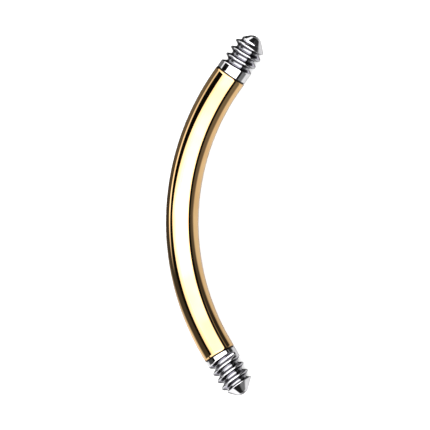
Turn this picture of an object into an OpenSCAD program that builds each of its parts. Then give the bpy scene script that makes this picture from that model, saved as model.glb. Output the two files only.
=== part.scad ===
// Curved barbell post: one bent steel rod with a threaded tip at each end, and a gold coat on its shaft.
// It lies on its side: the bend is in the XY plane, its hollow side faces -Y, and it rests on Z = 0.
// Lengths are in millimetres and angles in degrees.

/* [Shaft] */
// Diameter over the gold coat, 16 gauge
shaft_d = 1.2; // [1:0.05:2]
// Straight distance from one end of the coat to the other, along the centreline
span = 10.2; // [8:0.1:16]
// Angle that each threaded end leans away from the line between the two ends
lean = 34.3; // [25:0.1:40]
// Straight stretch of shaft between the bend and each end of the coat
straight_run = 0.3; // [0.1:0.05:0.8]

/* [Gold coat] */
// Wall of the coat
coat_wall = 0.045; // [0.04:0.005:0.08]
// Clearance between the coat and the steel, all round and at both ends
coat_gap = 0.02; // [0.015:0.005:0.03]
// Rounding of the coat's two outer edges
coat_edge_r = 0.025; // [0.01:0.005:0.035]

/* [Threaded ends] */
// How far the collar and the crests of the thread lie below the coat, on the radius
thread_step = 0.012; // [0.005:0.001:0.03]
// Advance of the thread in one turn, right-handed
pitch = 0.305; // [0.25:0.005:0.35]
// Width of the flat at the bottom of the groove
root_flat = 0.05; // [0.04:0.005:0.08]
// Width of the flat on top of the crest
crest_flat = 0.09; // [0.06:0.005:0.1]
// Bare steel from the end of the coat to the tip
bare_l = 1.68; // [1.5:0.01:2.5]
// From the end of the coat to the middle of the first groove, on the outer side of the bend
first_groove = 0.4; // [0.37:0.005:0.45]
// Radius of the rounded nose
nose_r = 0.37; // [0.25:0.01:0.4]
// How much the crests are turned down between the collar and the nose, on the radius
crest_taper = 0.006; // [0.002:0.001:0.02]
// Bevel on the collar's edge beside the coat
collar_bevel = 0.015; // [0.005:0.005:0.03]

/* [Hidden] */

$fn = 64;
shaft_r = shaft_d / 2;
coat_inner_r = shaft_r - coat_wall;
core_r = coat_inner_r - coat_gap;
crest_r = shaft_r - thread_step;

// The bend's radius follows from the span, once the two straight runs are taken off it.
bend_r = (span / 2 - straight_run * cos(lean)) / sin(lean);
end_y = bend_r * cos(lean) - straight_run * sin(lean);

// Thread form: flanks 27 degrees off the radius, so the depth follows from the pitch and the flats.
flank_angle = 27;
flank_w = (pitch - root_flat - crest_flat) / 2;
thread_depth = flank_w / tan(flank_angle);
root_r = crest_r - thread_depth;

// A cone joins the crests to the nose, and touches the nose's sphere.
cone_angle = 45;
nose_touch_r = nose_r * cos(cone_angle);
nose_touch_z = bare_l - nose_r + nose_r * sin(cone_angle);
tip_crest_r = crest_r - crest_taper;
cone_start_z = nose_touch_z - (tip_crest_r - nose_touch_r) / tan(cone_angle);

// The groove fades in over part of a turn beside the collar, and leaves through the cone.
steps_per_turn = 36;
step_angle = 360 / steps_per_turn;
fade_from = -170;
fade_to = -120;
cutter_margin = 0.04;
cutter_r = crest_r + cutter_margin;
fade_r = crest_r + cutter_margin / 2;
cutter_end_z = cone_start_z + (tip_crest_r - root_r) / tan(cone_angle) + root_flat;
collar_clear = 0.01;
collar_l = first_groove + pitch * fade_to / 360 - root_flat / 2 - flank_w - collar_clear;

// The straight stretches reach this far into the bend, and are slimmer there by a hair, so that
// the two are one solid and their walls never lie on each other.
join = 0.05;
hair = 0.004;
edge_steps = 4;

// The origin is under the middle of the box that the part fills.
low_y = end_y - cone_start_z * sin(lean) - tip_crest_r * cos(lean);
centre_y = (bend_r + shaft_r + low_y) / 2;

// Radius of the groove's bottom at an angle: outside the steel before the fade, the root's after it
function groove_bottom(a) =
    let (share = min(1, (a - fade_from) / (fade_to - fade_from)))
    fade_r - (fade_r - root_r) * sin(90 * share);

// Corners of the groove's cross-section at an angle about the axis, from the bottom outwards
function groove_section(a) =
    let (
        bottom = groove_bottom(a),
        middle_z = first_groove + pitch * a / 360,
        half_in = root_flat / 2,
        half_out = half_in + (cutter_r - bottom) * tan(flank_angle)
    )
    [for (p = [[bottom, -half_in], [bottom, half_in], [cutter_r, half_out], [cutter_r, -half_out]])
        [p[0] * cos(a), p[0] * sin(a), middle_z + p[1]]];

// The helical wedge that cuts the thread, swept from inside the collar's fade to past the cone
module groove_cutter() {
    first = fade_from;
    last = 360 * (cutter_end_z - first_groove) / pitch;
    sections = ceil((last - first) / step_angle);
    corners = 4;
    points = [for (i = [0 : sections]) each groove_section(first + i * step_angle)];
    walls = [for (i = [0 : sections - 1], k = [0 : corners - 1])
        let (
            a = corners * i + k,
            d = corners * i + (k + 1) % corners
        )
        each [[a, a + corners, d + corners], [a, d + corners, d]]];
    end = corners * sections;
    caps = [[0, 1, 2, 3], [end + 3, end + 2, end + 1, end]];
    polyhedron(points = points, faces = concat(walls, caps), convexity = 10);
}

// One bare end, along +Z from the end of the coat, with +X on the outer side of the bend
module threaded_end() {
    difference() {
        union() {
            translate([0, 0, coat_gap])
                cylinder(r1 = crest_r - collar_bevel, r2 = crest_r, h = collar_bevel);
            translate([0, 0, coat_gap + collar_bevel])
                cylinder(r = crest_r, h = collar_l - coat_gap - collar_bevel);
            translate([0, 0, collar_l])
                cylinder(r1 = crest_r, r2 = tip_crest_r, h = cone_start_z - collar_l);
            translate([0, 0, cone_start_z])
                cylinder(r1 = tip_crest_r, r2 = nose_touch_r, h = nose_touch_z - cone_start_z);
            translate([0, 0, bare_l - nose_r])
                sphere(r = nose_r);
        }
        groove_cutter();
    }
    translate([0, 0, -straight_run - join])
        cylinder(r1 = core_r - hair, r2 = core_r, h = straight_run + coat_gap + 2 * join);
}

// Places a child, built along +Z from the end of the coat, at both ends, with the same hand at each
module at_both_ends() {
    for (turn = [0, 180])
        rotate([0, turn, 0])
            translate([span / 2, end_y, 0])
                rotate([90, 0, 90 - lean])
                    children();
}

// The bend, from one straight run to the other, with the child's cross-section
module bend() {
    rotate([0, 0, 90 - lean])
        rotate_extrude(angle = 2 * lean)
            translate([bend_r, 0])
                children();
}

// Lifts the bend's plane to the height at which the shaft rests on the ground
module in_place() {
    translate([0, -centre_y, shaft_r])
        children();
}

module threaded_bar() {
    color("silver")
        in_place() {
            bend() circle(r = core_r);
            at_both_ends() threaded_end();
        }
}

// Straight end of the coat, with its outer edge rounded
module coat_end() {
    rounded_edge = [for (i = [0 : edge_steps])
        let (a = 90 * i / edge_steps)
        [shaft_r - coat_edge_r * (1 - cos(a)), -coat_edge_r * (1 - sin(a))]];
    rotate_extrude()
        polygon(concat(
            [[coat_inner_r, 0], [coat_inner_r + hair, -straight_run - join],
                [shaft_r - hair, -straight_run - join]],
            rounded_edge));
}

module gold_coat() {
    color("gold")
        in_place() {
            bend()
                difference() {
                    circle(r = shaft_r);
                    circle(r = coat_inner_r);
                }
            at_both_ends() coat_end();
        }
}

threaded_bar();
gold_coat();
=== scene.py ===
"""Curved barbell post: a polished gold-coated rod with bare, threaded steel ends, lying on a pale floor."""

import logging
import math
from dataclasses import dataclass, field
from enum import Enum

import bmesh
import bpy
import numpy as np
from mathutils import Matrix, Vector

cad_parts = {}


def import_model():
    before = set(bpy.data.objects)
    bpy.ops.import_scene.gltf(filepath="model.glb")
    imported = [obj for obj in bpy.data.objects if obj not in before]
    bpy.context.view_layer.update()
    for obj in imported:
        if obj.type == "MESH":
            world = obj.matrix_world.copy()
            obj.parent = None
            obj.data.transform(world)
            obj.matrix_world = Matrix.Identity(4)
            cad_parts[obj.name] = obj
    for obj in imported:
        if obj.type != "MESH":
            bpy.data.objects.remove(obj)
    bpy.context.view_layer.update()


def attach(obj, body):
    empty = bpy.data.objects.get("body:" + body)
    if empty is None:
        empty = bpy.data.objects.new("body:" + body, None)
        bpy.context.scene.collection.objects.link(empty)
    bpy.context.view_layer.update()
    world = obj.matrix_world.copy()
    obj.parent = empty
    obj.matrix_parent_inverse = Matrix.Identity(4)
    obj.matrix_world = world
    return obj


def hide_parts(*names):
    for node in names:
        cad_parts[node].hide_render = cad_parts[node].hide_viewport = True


LOG = logging.getLogger("curved_barbell")
MM = 0.001
BODY = "root"
UP = np.array([0.0, 0.0, 1.0])
PLACE = "straight_place"
MARKS = "thread_marks"

TINY = 1e-9
HALF_TURN = 180.0

Faces = list[tuple[int, ...]]
Pair = tuple[float, float]
Triple = tuple[float, float, float]
Stops = tuple[Pair, ...]
Socket = bpy.types.NodeSocket
Source = float | tuple[float, ...] | Socket
Ends = tuple[Socket, Socket]


class CadNode(Enum):
    """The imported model's nodes."""

    STEEL = "threaded_bar"
    GOLD = "gold_coat"


class Slot(Enum):
    """The record's material slots."""

    STEEL = "bare_steel"
    GOLD = "gold"


@dataclass
class Surface:
    """A surface in the making, in millimetres, with what its finish reads from it."""

    points: list[np.ndarray] = field(default_factory=list)
    places: list[np.ndarray] = field(default_factory=list)
    marks: list[np.ndarray] = field(default_factory=list)
    faces: Faces = field(default_factory=list)
    count: int = 0

    def add(self, points: np.ndarray, places: np.ndarray, marks: np.ndarray | None = None) -> int:
        """Add points.

        Args:
            points: Where they are.
            places: Where they would be if the bar were straight.
            marks: Where each lies on the thread, as ThreadForm.marks gives it, or nothing off the thread.

        Returns:
            The index of the first one.
        """
        first = self.count
        self.points.append(points)
        self.places.append(places)
        self.marks.append(np.zeros_like(points) if marks is None else marks)
        self.count += len(points)
        return first

    def make(self, name: str, weld: float = 2e-8, crease: float = math.radians(50)) -> bpy.types.Object:
        """Weld the points and make the mesh.

        Args:
            name: The piece's name.
            weld: Distance in metres within which points are one.
            crease: Angle above which an edge stays sharp.

        Returns:
            The new object.
        """
        mesh = bpy.data.meshes.new(name)
        mesh.from_pydata((np.concatenate(self.points) * MM).tolist(), [], self.faces)
        place = mesh.attributes.new(PLACE, "FLOAT_VECTOR", "POINT")
        place.data.foreach_set("vector", np.concatenate(self.places).astype(np.float32).ravel())
        marks = mesh.attributes.new(MARKS, "FLOAT_VECTOR", "POINT")
        marks.data.foreach_set("vector", np.concatenate(self.marks).astype(np.float32).ravel())
        solid = bmesh.new()
        solid.from_mesh(mesh)
        bmesh.ops.remove_doubles(solid, verts=solid.verts, dist=weld)
        bmesh.ops.recalc_face_normals(solid, faces=solid.faces)
        solid.to_mesh(mesh)
        solid.free()
        mesh.polygons.foreach_set("use_smooth", [True] * len(mesh.polygons))
        mesh.set_sharp_from_angle(angle=crease)
        made = bpy.data.objects.new(name, mesh)
        bpy.context.scene.collection.objects.link(made)
        return made


@dataclass(frozen=True)
class Bend:
    """The shaft's centreline, in millimetres: an arc with a short straight run at each end."""

    span: float = 10.2
    lean: float = math.radians(34.3)
    straight_run: float = 0.3
    shaft_r: float = 0.6
    outer_y: float = 1.7262

    @property
    def radius(self) -> float:
        """Radius of the bend."""
        return (self.span / 2 - self.straight_run * math.cos(self.lean)) / math.sin(self.lean)

    @property
    def half_length(self) -> float:
        """Length from the middle to the end of the coat."""
        return self.radius * self.lean + self.straight_run

    def lay(self, along: np.ndarray, angle: np.ndarray, r: np.ndarray) -> np.ndarray:
        """Bend points of a straight bar.

        Args:
            along: Distances from the middle, positive towards +X.
            angle: Angles about the centreline, from the bend's outer side towards up.
            r: Distances from the centreline.

        Returns:
            The points' places.
        """
        arc = self.radius * self.lean
        turn = np.clip(along, -arc, arc) / self.radius
        past = along - turn * self.radius
        zero = np.zeros_like(turn)
        tangent = np.stack([np.cos(turn), -np.sin(turn), zero], -1)
        outward = np.stack([np.sin(turn), np.cos(turn), zero], -1)
        centre = np.array([0.0, self.outer_y - self.shaft_r - self.radius, self.shaft_r])
        line = centre + outward * self.radius + tangent * past[..., None]
        return line + outward * (r * np.cos(angle))[..., None] + UP * (r * np.sin(angle))[..., None]


def ring_strip(first: int, second: int, sides: int) -> Faces:
    """Join two rings of points.

    Args:
        first: Index of one ring's first point.
        second: Index of the other's.
        sides: Points in a ring.

    Returns:
        The faces between them.
    """
    steps = [(i, (i + 1) % sides) for i in range(sides)]
    return [(first + i, first + j, second + j, second + i) for i, j in steps]


def even_steps(start: float, stop: float, step: float) -> list[float]:
    """Divide a length evenly, into steps of about the given length."""
    return np.linspace(start, stop, math.ceil(abs(stop - start) / step)).tolist()


@dataclass
class GoldCoat:
    """The gold layer on the shaft: a polished sleeve with a rounded edge at each end."""

    bend: Bend
    inner_r: float = 0.555
    edge_length: float = 0.09
    edge_drop: float = 0.038
    sides: int = 144
    ring_step: float = 0.07
    bore_step: float = 0.2
    edge_steps: int = 14

    def profile(self) -> list[Pair]:
        """Give the sleeve's rings in order, along the outside and back through the bore.

        Returns:
            Pairs of distance along the centreline and radius.
        """
        half, outer = self.bend.half_length, self.bend.shaft_r
        flat = half - self.edge_length
        outside = [(s, outer) for s in even_steps(-flat, flat, self.ring_step)]
        turns = np.linspace(0, math.pi / 2, self.edge_steps + 1)[1:]
        edge = [
            (flat + self.edge_length * math.sin(a), outer - self.edge_drop * (1 - math.cos(a)))
            for a in turns
        ]
        bore = [(s, self.inner_r) for s in even_steps(half, -half, self.bore_step)]
        return outside + edge + bore + [(-s, r) for s, r in reversed(edge)]

    def build(self) -> bpy.types.Object:
        """Make the sleeve.

        Returns:
            The new object.
        """
        angle = np.linspace(0, 2 * math.pi, self.sides, endpoint=False)
        surface = Surface()
        rings = []
        for along, r in self.profile():
            places = np.stack([r * np.cos(angle), r * np.sin(angle), np.full_like(angle, along)], -1)
            points = self.bend.lay(np.full_like(angle, along), angle, np.full_like(angle, r))
            rings.append(surface.add(points, places))
        for one, other in zip(rings, rings[1:] + rings[:1]):
            surface.faces += ring_strip(one, other, self.sides)
        return surface.make("gold_sleeve")

    def dress(self, piece: bpy.types.Object, finish: "GoldFinish") -> None:
        """Finish the sleeve and set it in the frame.

        Args:
            piece: The sleeve.
            finish: Its finish.
        """
        piece.data.materials.append(finish.material())
        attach(piece, BODY)
        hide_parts(CadNode.GOLD.value)


def soft_min(a: np.ndarray, b: np.ndarray, width: float) -> np.ndarray:
    """Give the smaller of two heights, rounded where they cross.

    Args:
        a: First heights.
        b: Second heights.
        width: How far apart they are where the rounding ends, or 0 for none.

    Returns:
        The rounded heights.
    """
    near = np.clip(1 - np.abs(a - b) / np.maximum(width, TINY), 0, 1)
    return np.minimum(a, b) - width * near**2 / 4


@dataclass(frozen=True)
class ThreadForm:
    """One bare end's form, in millimetres, along z from the end of the coat.

    The groove fades in between two angles, from start_clear outside the crests down to the root.
    """

    crest_r: float = 0.588
    root_r: float = 0.4261
    root_flat: float = 0.05
    flank_angle: float = math.radians(27)
    pitch: float = 0.305
    first_groove: float = 0.4
    taper: float = 0.006
    nose_r: float = 0.37
    tip: float = 1.68
    fade_from: float = math.radians(-170)
    fade_to: float = math.radians(-120)
    start_clear: float = 0.06
    crest_round: float = 0.04
    root_round: float = 0.02
    cone_round: float = 0.04

    @property
    def cone_top(self) -> float:
        """Height at which the cone meets the nose."""
        return self.tip - self.nose_r * (1 - math.sin(math.pi / 4))

    def envelope(self, z: np.ndarray) -> np.ndarray:
        """Give the end's radius before its thread is cut.

        Args:
            z: Heights.

        Returns:
            The radius at each.
        """
        crest = self.crest_r - self.taper * np.clip(z, 0, None) / self.tip
        cone = self.nose_r * math.cos(math.pi / 4) + self.cone_top - z
        lift = np.clip(z - (self.tip - self.nose_r), 0, self.nose_r)
        nose = np.sqrt(self.nose_r**2 - lift**2)
        past_crests = np.where(z > self.cone_top, nose, cone)
        return soft_min(crest, past_crests, self.cone_round * (z < self.cone_top))

    def radius(self, z: np.ndarray, angle: np.ndarray) -> np.ndarray:
        """Give the end's radius, with its thread.

        Args:
            z: Heights.
            angle: Angles about the axis, from -pi to pi, 0 on the bend's outer side.

        Returns:
            The radius at each.
        """
        turns = (z - self.first_groove) / self.pitch - angle / (2 * math.pi)
        nearest = np.round(turns)
        off = np.abs(turns - nearest) * self.pitch
        share = (angle + 2 * math.pi * nearest - self.fade_from) / (self.fade_to - self.fade_from)
        sunk = np.sin(np.clip(share, 0, 1) * math.pi / 2)
        clear = self.crest_r + self.start_clear
        bottom = clear - (clear - self.root_r) * sunk
        past_flat = np.clip(off - self.root_flat / 2, 0, None)
        rise = np.sqrt(past_flat**2 + self.root_round**2) - self.root_round
        groove = bottom + rise / math.tan(self.flank_angle)
        return soft_min(self.envelope(z), groove, self.crest_round * (sunk > 0))

    def marks(self, z: np.ndarray, angle: np.ndarray, r: np.ndarray) -> np.ndarray:
        """Tell where points lie on the thread.

        Args:
            z: Heights.
            angle: Angles about the axis.
            r: Distances from the axis.

        Returns:
            Three numbers for each: its depth, from 0 at a crest to 1 at a root, its flank, from -1 on
            the one that faces the tip to 1 on the one that faces the collar, and 1 on the ridge or 0
            off it.
        """
        turns = (z - self.first_groove) / self.pitch - angle / (2 * math.pi)
        depth = np.clip((self.envelope(z) - r) / (self.crest_r - self.root_r), 0, 1)
        flank = np.clip((turns - np.round(turns)) * self.pitch / (self.root_flat / 2), -1, 1)
        past_start = angle + 2 * math.pi * np.floor(turns) > self.fade_from
        ridge = past_start * (self.envelope(z) > self.crest_r - 2 * self.taper)
        return np.stack([depth, flank, ridge.astype(float)], -1)


@dataclass
class SteelPost:
    """The steel bar: a core that runs through the coat, and a collar, a thread and a nose at each end."""

    bend: Bend
    form: ThreadForm = ThreadForm()
    core_r: float = 0.535
    collar_from: float = 0.02
    collar_bevel: float = 0.018
    grid_from: float = 0.08
    grid_to: float = 1.46
    sides: int = 144
    rows_per_turn: int = 36
    core_step: float = 0.2
    cone_rows: int = 6
    nose_rows: int = 36
    bevel_rows: int = 4

    def place_end(
        self, surface: Surface, z: np.ndarray, angle: np.ndarray, r: np.ndarray, side: int
    ) -> int:
        """Add an end's points.

        Args:
            surface: The surface to add to.
            z: Heights above the coat's end.
            angle: Angles about the axis.
            r: Distances from the axis.
            side: 1 for the end at +X, -1 for the other, which is the first one turned half round Y.

        Returns:
            The index of the first point.
        """
        z, angle, r = (a.ravel() for a in np.broadcast_arrays(z, angle, r))
        along = side * (self.bend.half_length + z)
        points = self.bend.lay(along, side * angle, r)
        places = np.stack([r * np.cos(angle), side * r * np.sin(angle), along], -1)
        return surface.add(points, places, self.form.marks(z, angle, r))

    def add_thread(self, surface: Surface, side: int) -> None:
        """Add an end's threaded stretch, on a grid whose rows follow the helix.

        Args:
            surface: The surface to add to.
            side: Which end, as in place_end.
        """
        form, n, k = self.form, self.sides, self.rows_per_turn
        first = math.floor((self.grid_from - form.first_groove) / form.pitch * k) - k - 1
        last = math.ceil((self.grid_to - form.first_groove) / form.pitch * k) + 1
        row = np.arange(first, last + 1)[:, None]
        column = np.arange(n)[None, :]
        z = np.clip(form.first_groove + form.pitch * (row / k + column / n), self.grid_from, self.grid_to)
        angle = np.broadcast_to(2 * math.pi * column / n, z.shape)
        angle = np.where(angle > math.pi, angle - 2 * math.pi, angle)
        start = self.place_end(surface, z, angle, form.radius(z, angle), side)
        rows = len(row)
        for j in range(rows - 1):
            for i in range(n):
                jump, across = (0, i + 1) if i < n - 1 else (k, 0)
                if j + 1 + jump >= rows:
                    continue
                corners = ((j, i), (j + jump, across), (j + 1 + jump, across), (j + 1, i))
                heights = [z[corner] for corner in corners]
                if max(heights) > min(heights):
                    surface.faces.append(tuple(start + a * n + b for a, b in corners))

    def add_rings(self, surface: Surface, rings: list[Pair], side: int) -> int:
        """Add a stack of plain rings at an end.

        Args:
            surface: The surface to add to.
            rings: Pairs of height and radius.
            side: Which end, as in place_end.

        Returns:
            The index of the last ring's first point.
        """
        angle = np.linspace(0, 2 * math.pi, self.sides, endpoint=False)
        made = [self.place_end(surface, np.array(z), angle, np.array(r), side) for z, r in rings]
        for one, other in zip(made, made[1:]):
            surface.faces += ring_strip(one, other, self.sides)
        return made[-1]

    def add_end(self, surface: Surface, side: int) -> None:
        """Add one whole end, from the core's end to the tip.

        Args:
            surface: The surface to add to.
            side: Which end, as in place_end.
        """
        form, bevel = self.form, self.collar_bevel
        turns = np.linspace(0, math.pi / 2, self.bevel_rows + 1)
        edge = [
            (self.collar_from + bevel * (1 - math.cos(a)), form.crest_r - bevel * (1 - math.sin(a)))
            for a in turns
        ]
        low = self.grid_from
        self.add_rings(surface, [(0.0, self.core_r), (self.collar_from, self.core_r), *edge], side)
        top_of_edge = edge[-1]
        self.add_rings(surface, [top_of_edge, (low, float(form.envelope(np.array(low))))], side)
        self.add_thread(surface, side)
        cone = np.linspace(self.grid_to, form.cone_top, self.cone_rows)
        dome = np.linspace(math.pi / 4, math.pi / 2, self.nose_rows)[:-1]
        rings = [(float(z), float(form.envelope(z))) for z in cone[:-1]]
        rings += [(form.tip - form.nose_r * (1 - math.sin(a)), form.nose_r * math.cos(a)) for a in dome]
        last = self.add_rings(surface, rings, side)
        pole = self.place_end(surface, np.array([form.tip]), np.array([0.0]), np.array([0.0]), side)
        surface.faces += [(last + i, last + (i + 1) % self.sides, pole) for i in range(self.sides)]

    def build(self) -> bpy.types.Object:
        """Make the bar.

        Returns:
            The new object.
        """
        surface = Surface()
        angle = np.linspace(0, 2 * math.pi, self.sides, endpoint=False)
        half = self.bend.half_length
        rings = []
        for along in even_steps(-half, half, self.core_step):
            r = np.full_like(angle, self.core_r)
            spot = np.full_like(angle, along)
            places = np.stack([r * np.cos(angle), r * np.sin(angle), spot], -1)
            rings.append(surface.add(self.bend.lay(spot, angle, r), places))
        for one, other in zip(rings, rings[1:]):
            surface.faces += ring_strip(one, other, self.sides)
        for side in (1, -1):
            self.add_end(surface, side)
        return surface.make("steel_post")

    def dress(self, piece: bpy.types.Object, finish: "SteelFinish") -> None:
        """Finish the bar and set it in the frame.

        Args:
            piece: The bar.
            finish: Its finish.
        """
        piece.data.materials.append(finish.material())
        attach(piece, BODY)
        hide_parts(CadNode.STEEL.value)


@dataclass
class NodeBench:
    """A short way to lay out shader nodes."""

    tree: bpy.types.NodeTree

    def add(self, kind: str, **settings: object) -> bpy.types.Node:
        """Add a node.

        Args:
            kind: Its type.
            settings: Properties to set on it.

        Returns:
            The node.
        """
        node = self.tree.nodes.new(kind)
        for name, value in settings.items():
            setattr(node, name, value)
        return node

    def feed(self, node: bpy.types.Node, **inputs: Source) -> bpy.types.Node:
        """Set or link a node's inputs.

        Args:
            node: The node.
            inputs: Input names, with _ for a space, and a value or an output socket for each.

        Returns:
            The node.
        """
        for name, value in inputs.items():
            self.put(node.inputs[name.replace("_", " ")], value)
        return node

    def put(self, socket: Socket, value: Source) -> None:
        """Set or link one input."""
        if isinstance(value, Socket):
            self.tree.links.new(value, socket)
        else:
            socket.default_value = value

    def math(self, operation: str, *values: Source) -> Socket:
        """Add a math node.

        Args:
            operation: What it does.
            values: Its inputs, as numbers or sockets.

        Returns:
            Its output.
        """
        node = self.add("ShaderNodeMath", operation=operation)
        for socket, value in zip(node.inputs, values):
            self.put(socket, value)
        return node.outputs[0]

    def dot(self, vector: Socket, axis: Vector | np.ndarray) -> Socket:
        """Give a vector's component along an axis."""
        node = self.add("ShaderNodeVectorMath", operation="DOT_PRODUCT")
        self.put(node.inputs[0], vector)
        self.put(node.inputs[1], tuple(axis))
        return node.outputs["Value"]

    def scaled(self, vector: Socket, scale: Triple) -> Socket:
        """Scale a vector by a different number on each axis."""
        node = self.add("ShaderNodeVectorMath", operation="MULTIPLY")
        self.put(node.inputs[0], vector)
        self.put(node.inputs[1], scale)
        return node.outputs["Vector"]

    def noise(self, vector: Socket, scale: float, detail: float) -> Socket:
        """Add a noise texture and give its value."""
        node = self.add("ShaderNodeTexNoise")
        self.feed(node, Vector=vector, Scale=scale, Detail=detail)
        return node.outputs[0]

    def spread(self, value: Socket, old: Pair, new: Pair = (0, 1)) -> Socket:
        """Map a value from one range to another, held within the new one."""
        node = self.add("ShaderNodeMapRange", clamp=True)
        names = ("Value", "From Min", "From Max", "To Min", "To Max")
        for name, number in zip(names, (value, *old, *new)):
            self.put(node.inputs[name], number)
        return node.outputs["Result"]

    def ramp(self, value: Socket, stops: Stops, top: float) -> Socket:
        """Turn a value into a brightness by a table of stops.

        Args:
            value: What is looked up, as a share of half a turn.
            stops: Pairs of degrees and brightness.
            top: The brightness that the ramp's white stands for.

        Returns:
            The brightness.
        """
        node = self.add("ShaderNodeValToRGB")
        table = node.color_ramp
        while len(table.elements) > 1:
            table.elements.remove(table.elements[-1])
        for number, (position, level) in enumerate(stops):
            share = position / HALF_TURN
            stop = table.elements[0] if number == 0 else table.elements.new(share)
            stop.position = share
            stop.color = (level / top, level / top, level / top, 1)
        self.put(node.inputs["Fac"], value)
        return self.math("MULTIPLY", node.outputs["Color"], top)

    def blend(self, share: Source, low: Source, high: Source) -> Socket:
        """Mix two numbers."""
        node = self.add("ShaderNodeMix", data_type="FLOAT")
        for socket, value in zip((node.inputs[0], node.inputs[2], node.inputs[3]), (share, low, high)):
            self.put(socket, value)
        return node.outputs[0]

    def tint(self, share: Source, low: Source, high: Source) -> Socket:
        """Mix two colours, each three numbers or an output socket."""
        node = self.add("ShaderNodeMix", data_type="RGBA")
        self.put(node.inputs[0], share)
        for socket, colour in ((node.inputs[6], low), (node.inputs[7], high)):
            self.put(socket, (*colour, 1) if isinstance(colour, tuple) else colour)
        return node.outputs[2]

    def bump(self, height: Socket, distance: float, strength: float) -> Socket:
        """Add a bump node and give its normal."""
        node = self.add("ShaderNodeBump")
        self.feed(node, Height=height, Distance=distance, Strength=strength)
        return node.outputs["Normal"]


def blank_material(name: str) -> tuple[bpy.types.Material, NodeBench, bpy.types.Node]:
    """Make a material with only its shader and output.

    Args:
        name: Its name.

    Returns:
        The material, a bench for its nodes, and its shader.
    """
    material = bpy.data.materials.new(name)
    material.use_nodes = True
    material.node_tree.nodes.clear()
    bench = NodeBench(material.node_tree)
    shader = bench.add("ShaderNodeBsdfPrincipled")
    output = bench.add("ShaderNodeOutputMaterial")
    bench.put(output.inputs["Surface"], shader.outputs["BSDF"])
    return material, bench, shader


@dataclass(frozen=True)
class GoldFinish:
    """Mirror-polished warm gold, with faint polishing lines, a slight waviness and painted shade at its
    ends.

    Scales tell how fine a pattern is, and stretches do so along each axis of the straight bar. A range is
    the part of a pattern's values that is used.
    """

    half_length: float
    deep: Triple = (0.90, 0.56, 0.25)
    light: Triple = (0.97, 0.63, 0.30)
    # Painted shade: a near-black band at each end of the coat.
    end_shade: Triple = (0.05, 0.03, 0.015)
    end_shade_from: float = 0.04
    end_shade_full: float = 0.012
    smooth: float = 0.035
    worn: float = 0.075
    cloud_scale: float = 1.1
    cloud_range: Pair = (0.35, 0.65)
    line_stretch: Triple = (26, 26, 1.3)
    line_range: Pair = (0.42, 0.72)
    wave_scale: float = 1.6
    wave_stretch: Triple = (1, 1, 0.45)
    wave_height: float = 4e-7
    scratch_height: float = 4e-8

    def material(self) -> bpy.types.Material:
        """Make the material."""
        material, bench, shader = blank_material("polished_gold")
        place = bench.add("ShaderNodeAttribute", attribute_name=PLACE).outputs["Vector"]
        cloud = bench.noise(place, self.cloud_scale, detail=2)
        lines = bench.noise(bench.scaled(place, self.line_stretch), 1.0, detail=4)
        wave = bench.noise(bench.scaled(place, self.wave_stretch), self.wave_scale, detail=1)
        patches = bench.spread(cloud, self.cloud_range)
        from_middle = bench.math("ABSOLUTE", bench.dot(place, UP))
        edge = (self.half_length - self.end_shade_from, self.half_length - self.end_shade_full)
        colour = bench.tint(patches, self.deep, self.light)
        # Painted shade: darken the coat in a thin band at each end.
        colour = bench.tint(bench.spread(from_middle, edge), colour, self.end_shade)
        bench.put(shader.inputs["Base Color"], colour)
        bench.put(shader.inputs["Metallic"], 1.0)
        rough = bench.spread(lines, self.line_range, (self.smooth, self.worn))
        bench.put(shader.inputs["Roughness"], rough)
        swell = bench.math("MULTIPLY", wave, self.wave_height / self.scratch_height)
        height = bench.math("ADD", swell, lines)
        bench.put(shader.inputs["Normal"], bench.bump(height, self.scratch_height, 1.0))
        return material


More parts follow.
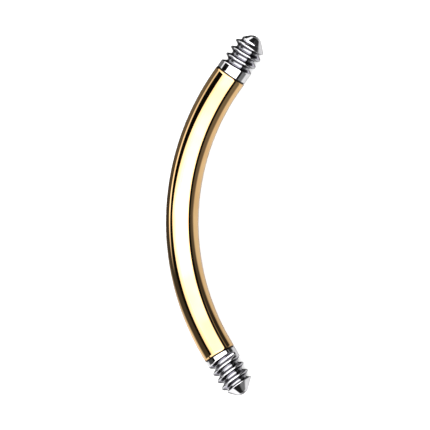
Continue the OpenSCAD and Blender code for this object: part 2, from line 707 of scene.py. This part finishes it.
@dataclass(frozen=True)
class SteelFinish:
    """Bright turned steel with a few stains, and painted shade on its thread and beside the coat.

    The thread's crests and the groove's bottom are painted greyer, as shade, the flank that faces the tip
    is painted grey and the other one dark, both as shade, and painted shade darkens the seam beside the
    coat. The pairs named after these places say where each starts and is full, or fades and has ended, in
    the numbers that ThreadForm.marks gives.
    """

    half_length: float
    bright: Triple = (0.93, 0.92, 0.94)
    # Painted shade: the next four colours paint the crests, the groove's bottom and the two flanks darker
    # than the bright steel; the dark one also tints the stains.
    crest: Triple = (0.65, 0.65, 0.67)
    root: Triple = (0.42, 0.42, 0.44)
    tip_flank_shade: Triple = (0.50, 0.48, 0.55)
    dark: Triple = (0.05, 0.05, 0.055)
    # Painted shade: near black, in the seam beside the coat.
    seam_shade: Triple = (0.03, 0.03, 0.03)
    smooth: float = 0.03
    thread_rough: float = 0.04
    seam: float = 0.055
    stain_scale: float = 5.0
    stain_range: Pair = (0.3, 0.7)
    stain_share: float = 0.08
    tool_stretch: Triple = (1.5, 1.5, 46)
    tool_height: float = 1.5e-7
    tool_strength: float = 0.6
    crest_fades: Pair = (0.05, 0.15)
    flank_starts: Pair = (0.06, 0.16)
    flank_fades: Pair = (0.9, 0.97)
    root_starts: Pair = (0.85, 0.95)
    tip_side: Pair = (0.0, -1.0)
    collar_side: Pair = (0.2, 1.0)

    def material(self) -> bpy.types.Material:
        """Make the material."""
        material, bench, shader = blank_material("turned_steel")
        place = bench.add("ShaderNodeAttribute", attribute_name=PLACE).outputs["Vector"]
        marks = bench.add("ShaderNodeSeparateXYZ")
        bench.put(marks.inputs[0], bench.add("ShaderNodeAttribute", attribute_name=MARKS).outputs["Vector"])
        depth, flank, ridge = marks.outputs
        cloud = bench.noise(place, self.stain_scale, detail=3)
        tool = bench.noise(bench.scaled(place, self.tool_stretch), 1.0, detail=3)
        stains = bench.spread(cloud, self.stain_range, (0, self.stain_share))
        # Painted shade on the thread: greyer crests and groove bottoms, a grey flank facing the tip and a
        # dark flank facing the collar.
        on_crest = bench.math("MULTIPLY", ridge, bench.spread(depth, self.crest_fades, (1, 0)))
        below_crest = bench.spread(depth, self.flank_starts)
        above_root = bench.spread(depth, self.flank_fades, (1, 0))
        on_flank = bench.math("MULTIPLY", below_crest, above_root)
        in_root = bench.spread(depth, self.root_starts)
        faces_tip = bench.math("MULTIPLY", on_flank, bench.spread(flank, self.tip_side))
        faces_collar = bench.math("MULTIPLY", on_flank, bench.spread(flank, self.collar_side))
        from_middle = bench.math("ABSOLUTE", bench.dot(place, UP))
        # Painted shade: the seam beside the coat is painted near black.
        past_coat = bench.math("SUBTRACT", from_middle, self.half_length)
        in_seam = bench.spread(past_coat, (self.seam / 2, self.seam), (1, 0))
        colour = bench.tint(stains, self.bright, self.dark)
        # Tint in the painted shade of the crests, the groove's bottom, both flanks and the seam.
        coats = (
            (on_crest, self.crest),
            (in_root, self.root),
            (faces_tip, self.tip_flank_shade),
            (faces_collar, self.dark),
            (in_seam, self.seam_shade),
        )
        for share, paint in coats:
            colour = bench.tint(share, colour, paint)
        bench.put(shader.inputs["Base Color"], colour)
        bench.put(shader.inputs["Metallic"], 1.0)
        rough = bench.spread(cloud, self.stain_range, (self.smooth, 2 * self.smooth))
        for share in (bench.math("MAXIMUM", on_crest, faces_collar), faces_tip):
            rough = bench.blend(share, rough, self.thread_rough)
        bench.put(shader.inputs["Roughness"], rough)
        bench.put(shader.inputs["Normal"], bench.bump(tool, self.tool_height, self.tool_strength))
        return material


@dataclass(frozen=True)
class FloorFinish:
    """Plain white card, with a barely visible tooth."""

    low: Triple = (0.83, 0.83, 0.83)
    high: Triple = (0.87, 0.87, 0.87)
    rough: Pair = (0.75, 0.85)
    shine: float = 0.2
    tooth_scale: float = 900.0
    tooth_range: Pair = (0.3, 0.7)
    tooth_height: float = 2e-6
    tooth_strength: float = 0.3

    def material(self) -> bpy.types.Material:
        """Make the material."""
        material, bench, shader = blank_material("white_card")
        place = bench.add("ShaderNodeTexCoord").outputs["Object"]
        tooth = bench.noise(place, self.tooth_scale, detail=3)
        bench.put(shader.inputs["Base Color"], bench.tint(tooth, self.low, self.high))
        bench.put(shader.inputs["Roughness"], bench.spread(tooth, self.tooth_range, self.rough))
        bench.put(shader.inputs["Specular IOR Level"], self.shine)
        bench.put(shader.inputs["Normal"], bench.bump(tooth, self.tooth_height, self.tooth_strength))
        return material


@dataclass(frozen=True)
class PhotoCamera:
    """The camera of the photograph, in millimetres and in pixels of its 430 x 430 frame."""

    frame_px: float = 430.0
    distance: float = 61.2
    tilt: float = math.radians(18.16)
    roll: float = math.radians(2.209)
    px_per_mm: float = 27.28
    target: Triple = (0.0, 0.289, 0.6)
    target_px: Pair = (203.90, 213.71)
    sensor: float = 36.0
    clip_m: Pair = (0.001, 10.0)

    @property
    def back(self) -> Vector:
        """Direction from the object to the camera."""
        return Vector((0, -math.sin(self.tilt), math.cos(self.tilt)))

    @property
    def level_right(self) -> Vector:
        """Direction to the picture's right, before the roll."""
        return Vector((0, -math.cos(self.tilt), -math.sin(self.tilt)))

    def build(self) -> bpy.types.Object:
        """Make the camera and set it as the scene's.

        Returns:
            The camera object.
        """
        level_up = Vector((1, 0, 0))
        up = math.cos(self.roll) * level_up - math.sin(self.roll) * self.level_right
        right = math.cos(self.roll) * self.level_right + math.sin(self.roll) * level_up
        middle = self.frame_px / 2
        aside = (middle - self.target_px[0]) / self.px_per_mm
        above = (self.target_px[1] - middle) / self.px_per_mm
        place = Vector(self.target) + self.back * self.distance + right * aside + up * above
        data = bpy.data.cameras.new("photo_camera")
        data.sensor_width = self.sensor
        data.lens = self.sensor * self.px_per_mm * self.distance / self.frame_px
        data.clip_start, data.clip_end = self.clip_m
        camera = bpy.data.objects.new("photo_camera", data)
        turn = Matrix((right, up, self.back)).transposed()
        camera.matrix_world = Matrix.Translation(place * MM) @ turn.to_4x4()
        bpy.context.scene.collection.objects.link(camera)
        bpy.context.scene.camera = camera
        return camera


@dataclass(frozen=True)
class Panel:
    """One bright area of the light tent, as the bar's surface shows it.

    Its edges are degrees of reflection across the bar, below 0 on the bend's outer side. Each edge and its
    brightness are given for the +X end, the middle and the -X end of the bar, and change smoothly between.
    A brightness below 0 makes the panel run out before that end, and an edge of 400 lies out of sight.
    """

    outer: Triple
    inner: Triple
    level: Triple
    outer_soft: float = 4.0
    inner_soft: float = 4.0


@dataclass
class Studio:
    """A pale floor and a light tent: a large softbox overhead, dark gaps beside it and pale card below.

    The panels light what is seen across the bar. Directions past pole_from degrees along the bar take
    their brightness from stops instead, by degrees from the camera: plus and minus are for the end at +X
    and the one at -X, and outer and inner for the two sides of the bend. Over each split, a part of the
    direction along Y or X, one changes into the other. The nadir stops dim what lies under the part.
    """

    camera: PhotoCamera
    floor_r: float = 0.3
    floor_sides: int = 96
    dome_sides: int = 64
    bend_r_over_distance: float = 0.14
    mean_cosine: float = 0.93
    turn_full: float = 0.5
    dark: float = 0.003
    softbox: Panel = Panel((-48.5, -73, -54), (45.5, 45.5, 49.5), (1.5, 1.5, 1.3), 3.0, 3.0)
    softbox_core: Triple = (1.3, 3.0, 1.3)
    core_rise: Pair = (34.0, 10.0)
    panels: tuple[Panel, ...] = (
        Panel((-103, -106, -98), (-89, -94, -94), (0.95, 1.8, -1.7), 3.0, 3.0),
        Panel((-400, -400, -400), (-104, -104, -72), (0.17, 0.05, 0.06), 4.0, 8.0),
        Panel((-400, -400, -400), (-150, -165, -119), (0.2, 0.1, 1.0), 4.0, 24.0),
        Panel((62, 61, 70), (400, 400, 400), (0.19, 0.12, 0.03), 6.0, 4.0),
        Panel((97, 82, 105), (400, 400, 400), (0.82, 0.75, 0.7), 15.0, 4.0),
        Panel((69, 69, 66), (64, 64, 71), (0.0, 0.0, 0.3), 2.0, 2.0),
    )
    plus_outer: Stops = ((0, 3.0), (50, 2.5), (72, 1.5), (102, 1.3), (112, 0.008), (160, 0.05), (180, 0.15))
    plus_inner: Stops = (
        (0, 3.0), (50, 2.5), (60, 0.008), (101, 0.02), (105, 0.3), (110, 0.3),
        (115, 0.02), (126, 0.1), (134, 1.1), (146, 1.0), (158, 0.25), (180, 0.15),
    )
    minus_outer: Stops = (
        (0, 3.0), (70, 1.5), (76, 0.008), (82, 0.008), (88, 1.1), (122, 1.1),
        (137, 0.4), (152, 0.15), (180, 0.08),
    )
    minus_inner: Stops = (
        (0, 3.0), (50, 2.5), (60, 0.008), (100, 0.02), (105, 0.3), (110, 0.3),
        (115, 0.05), (124, 0.08), (135, 0.8), (155, 0.5), (180, 0.3),
    )
    nadir: Stops = ((0, 1.0), (140, 1.0), (155, 0.85), (165, 0.45), (172, 0.3), (180, 0.3))
    plus_split: Pair = (-0.15, -0.05)
    minus_split: Pair = (-0.18, -0.10)
    end_split: Pair = (-0.05, 0.05)
    pole_from: Pair = (37.0, 45.0)
    top: float = 6.0
    fill_energy: float = 1.5
    fill_spread: float = math.radians(60)

    def floor(self) -> bpy.types.Object:
        """Lay the floor.

        Returns:
            The floor.
        """
        mesh = bpy.data.meshes.new("floor")
        disc = bmesh.new()
        bmesh.ops.create_circle(disc, cap_ends=True, segments=self.floor_sides, radius=self.floor_r)
        disc.to_mesh(mesh)
        disc.free()
        floor = bpy.data.objects.new("floor", mesh)
        bpy.context.scene.collection.objects.link(floor)
        floor.data.materials.append(FloorFinish().material())
        floor.visible_glossy = False
        return floor

    def at_turn(self, bench: NodeBench, ends: Ends, values: Triple) -> Source:
        """Give a quantity that differs between the ends of the bar.

        Args:
            bench: Where its nodes go.
            ends: How far the direction belongs to the +X end and to the -X end.
            values: The quantity at the +X end, the middle and the -X end.

        Returns:
            The quantity.
        """
        plus, middle, minus = values
        if plus == middle == minus:
            return middle
        return bench.blend(ends[1], bench.blend(ends[0], middle, plus), minus)

    def gate(self, bench: NodeBench, swing: Socket, ends: Ends, panel: Panel) -> tuple[Socket, ...]:
        """Give how far a direction lies inside a panel.

        Args:
            bench: Where its nodes go.
            swing: The direction's degrees across the bar.
            ends: As in at_turn.
            panel: The panel.

        Returns:
            The share inside, and the degrees from its outer and its inner edge.
        """
        past_outer = bench.math("SUBTRACT", swing, self.at_turn(bench, ends, panel.outer))
        before_inner = bench.math("SUBTRACT", self.at_turn(bench, ends, panel.inner), swing)
        half_outer, half_inner = panel.outer_soft / 2, panel.inner_soft / 2
        inside = bench.math(
            "MULTIPLY",
            bench.spread(past_outer, (-half_outer, half_outer)),
            bench.spread(before_inner, (-half_inner, half_inner)),
        )
        return inside, past_outer, before_inner

    def fill(self) -> bpy.types.Object:
        """Hang a soft light overhead, which brightens the floor and shows in no reflection.

        Returns:
            The light.
        """
        light = bpy.data.lights.new("fill", "SUN")
        light.energy = self.fill_energy
        light.angle = self.fill_spread
        fill = bpy.data.objects.new("fill", light)
        fill.matrix_world = self.camera.back.to_track_quat("Z", "Y").to_matrix().to_4x4()
        fill.visible_glossy = False
        bpy.context.scene.collection.objects.link(fill)
        return fill

    def bar_place(self, bench: NodeBench, x: Socket, y: Socket, z: Socket) -> tuple[Socket, Socket]:
        """Tell which place on the bar shows a direction to the camera.

        Args:
            bench: Where its nodes go.
            x: The direction's part along X.
            y: Its part along Y.
            z: Its part along Z.

        Returns:
            How far the bar has turned at that place, in radians, and the degrees across the bar.
        """
        tilt = self.camera.tilt
        lean = math.sin(tilt) - self.bend_r_over_distance * self.mean_cosine
        turn = bench.math("ARCTANGENT", bench.math("DIVIDE", x, bench.math("SUBTRACT", y, lean)))
        sine, cosine = bench.math("SINE", turn), bench.math("COSINE", turn)
        outward = bench.math("ADD", bench.math("MULTIPLY", x, sine), bench.math("MULTIPLY", y, cosine))
        crown = bench.math(
            "ADD",
            bench.math("MULTIPLY", cosine, math.sin(tilt)),
            bench.math("MULTIPLY", bench.math("MULTIPLY", sine, sine), self.bend_r_over_distance),
        )
        from_up = bench.math("ARCTAN2", outward, z)
        crown_from_up = bench.math("ARCTAN2", crown, math.cos(tilt))
        swing = bench.math("DEGREES", bench.math("ADD", from_up, crown_from_up))
        return turn, bench.math("WRAP", bench.math("MULTIPLY", swing, -1.0), HALF_TURN, -HALF_TURN)

    def panel_light(self, bench: NodeBench, turn: Socket, swing: Socket) -> Socket:
        """Give the brightness of the softbox and the panels.

        Args:
            bench: Where its nodes go.
            turn: How far the bar has turned, as bar_place gives it.
            swing: The degrees across the bar.

        Returns:
            The brightness.
        """
        ends = (bench.spread(turn, (0.0, self.turn_full)), bench.spread(turn, (0.0, -self.turn_full)))
        inside, past_outer, before_inner = self.gate(bench, swing, ends, self.softbox)
        rise, fall = self.core_rise
        rising, falling = bench.spread(past_outer, (0, rise)), bench.spread(before_inner, (0, fall))
        core = bench.math("MULTIPLY", rising, falling)
        core = bench.math("MULTIPLY", core, self.at_turn(bench, ends, self.softbox_core))
        box_level = bench.math("ADD", self.at_turn(bench, ends, self.softbox.level), core)
        level = bench.math("MAXIMUM", bench.math("MULTIPLY", inside, box_level), self.dark)
        for panel in self.panels:
            inside = self.gate(bench, swing, ends, panel)[0]
            shine = bench.math("MULTIPLY", inside, self.at_turn(bench, ends, panel.level))
            level = bench.math("MAXIMUM", level, shine)
        return level

    def tent(self) -> bpy.types.World:
        """Light the scene with the tent, as brightness by direction.

        A direction is told by the place on the bar that shows it to the camera: how far the bar has turned
        there, and how many degrees across the bar it is seen.

        Returns:
            The world.
        """
        world = bpy.data.worlds.new("light_tent")
        bpy.context.scene.world = world
        world.use_nodes = True
        world.node_tree.nodes.clear()
        bench = NodeBench(world.node_tree)
        way = bench.add("ShaderNodeTexCoord").outputs["Generated"]
        parts = bench.add("ShaderNodeSeparateXYZ")
        bench.put(parts.inputs[0], way)
        x, y, z = parts.outputs
        turn, swing = self.bar_place(bench, x, y, z)
        across = self.panel_light(bench, turn, swing)
        from_back = bench.math("ARCCOSINE", bench.dot(way, self.camera.back))
        polar = bench.spread(from_back, (0, math.pi))
        plus_outer, plus_inner, minus_outer, minus_inner, nadir = (
            bench.ramp(polar, stops, self.top)
            for stops in (self.plus_outer, self.plus_inner, self.minus_outer, self.minus_inner, self.nadir)
        )
        plus = bench.blend(bench.spread(y, self.plus_split), plus_inner, plus_outer)
        minus = bench.blend(bench.spread(y, self.minus_split), minus_inner, minus_outer)
        pole = bench.blend(bench.spread(x, self.end_split), minus, plus)
        far = bench.spread(bench.math("DEGREES", bench.math("ABSOLUTE", turn)), self.pole_from)
        glow = bench.add("ShaderNodeBackground")
        bench.put(glow.inputs["Color"], (1, 1, 1, 1))
        bench.put(glow.inputs["Strength"], bench.math("MULTIPLY", bench.blend(far, across, pole), nadir))
        output = bench.add("ShaderNodeOutputWorld")
        bench.put(output.inputs["Surface"], glow.outputs["Background"])
        return world

    def backdrop(self) -> bpy.types.Object:
        """Hang a pale backdrop all round, which only the camera sees.

        Returns:
            The backdrop.
        """
        mesh = bpy.data.meshes.new("backdrop")
        dome = bmesh.new()
        rows = self.dome_sides // 2
        bmesh.ops.create_uvsphere(dome, u_segments=self.dome_sides, v_segments=rows, radius=self.floor_r)
        dome.to_mesh(mesh)
        dome.free()
        backdrop = bpy.data.objects.new("backdrop", mesh)
        bpy.context.scene.collection.objects.link(backdrop)
        material = bpy.data.materials.new("pale_backdrop")
        material.use_nodes = True
        material.node_tree.nodes.clear()
        bench = NodeBench(material.node_tree)
        glow = bench.add("ShaderNodeEmission")
        bench.put(glow.inputs["Color"], (1, 1, 1, 1))
        bench.put(glow.inputs["Strength"], 1.0)
        output = bench.add("ShaderNodeOutputMaterial")
        bench.put(output.inputs["Surface"], glow.outputs["Emission"])
        backdrop.data.materials.append(material)
        backdrop.visible_diffuse = False
        backdrop.visible_glossy = False
        backdrop.visible_transmission = False
        backdrop.visible_volume_scatter = False
        backdrop.visible_shadow = False
        return backdrop

    def build(self) -> None:
        """Set up the whole studio."""
        bpy.context.scene.view_settings.view_transform = "Standard"
        self.floor()
        self.fill()
        self.tent()
        self.backdrop()


def corners(box: tuple[Vector, Vector]) -> list[list[float]]:
    """Give a box's two corners as plain lists."""
    return [list(corner) for corner in box]


def main() -> None:
    """Build, dress and light the post."""
    logging.basicConfig(level=logging.INFO, format="%(name)s: %(message)s")
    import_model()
    camera = PhotoCamera()
    camera.build()
    Studio(camera).build()
    bend = Bend()
    coat = GoldCoat(bend)
    sleeve = coat.build()
    coat.dress(sleeve, GoldFinish(bend.half_length))
    LOG.info("%s: %d faces", sleeve.name, len(sleeve.data.polygons))
    post = SteelPost(bend)
    bar = post.build()
    post.dress(bar, SteelFinish(bend.half_length))
    LOG.info("%s: %d faces", bar.name, len(bar.data.polygons))


if __name__ == "__main__":
    main()
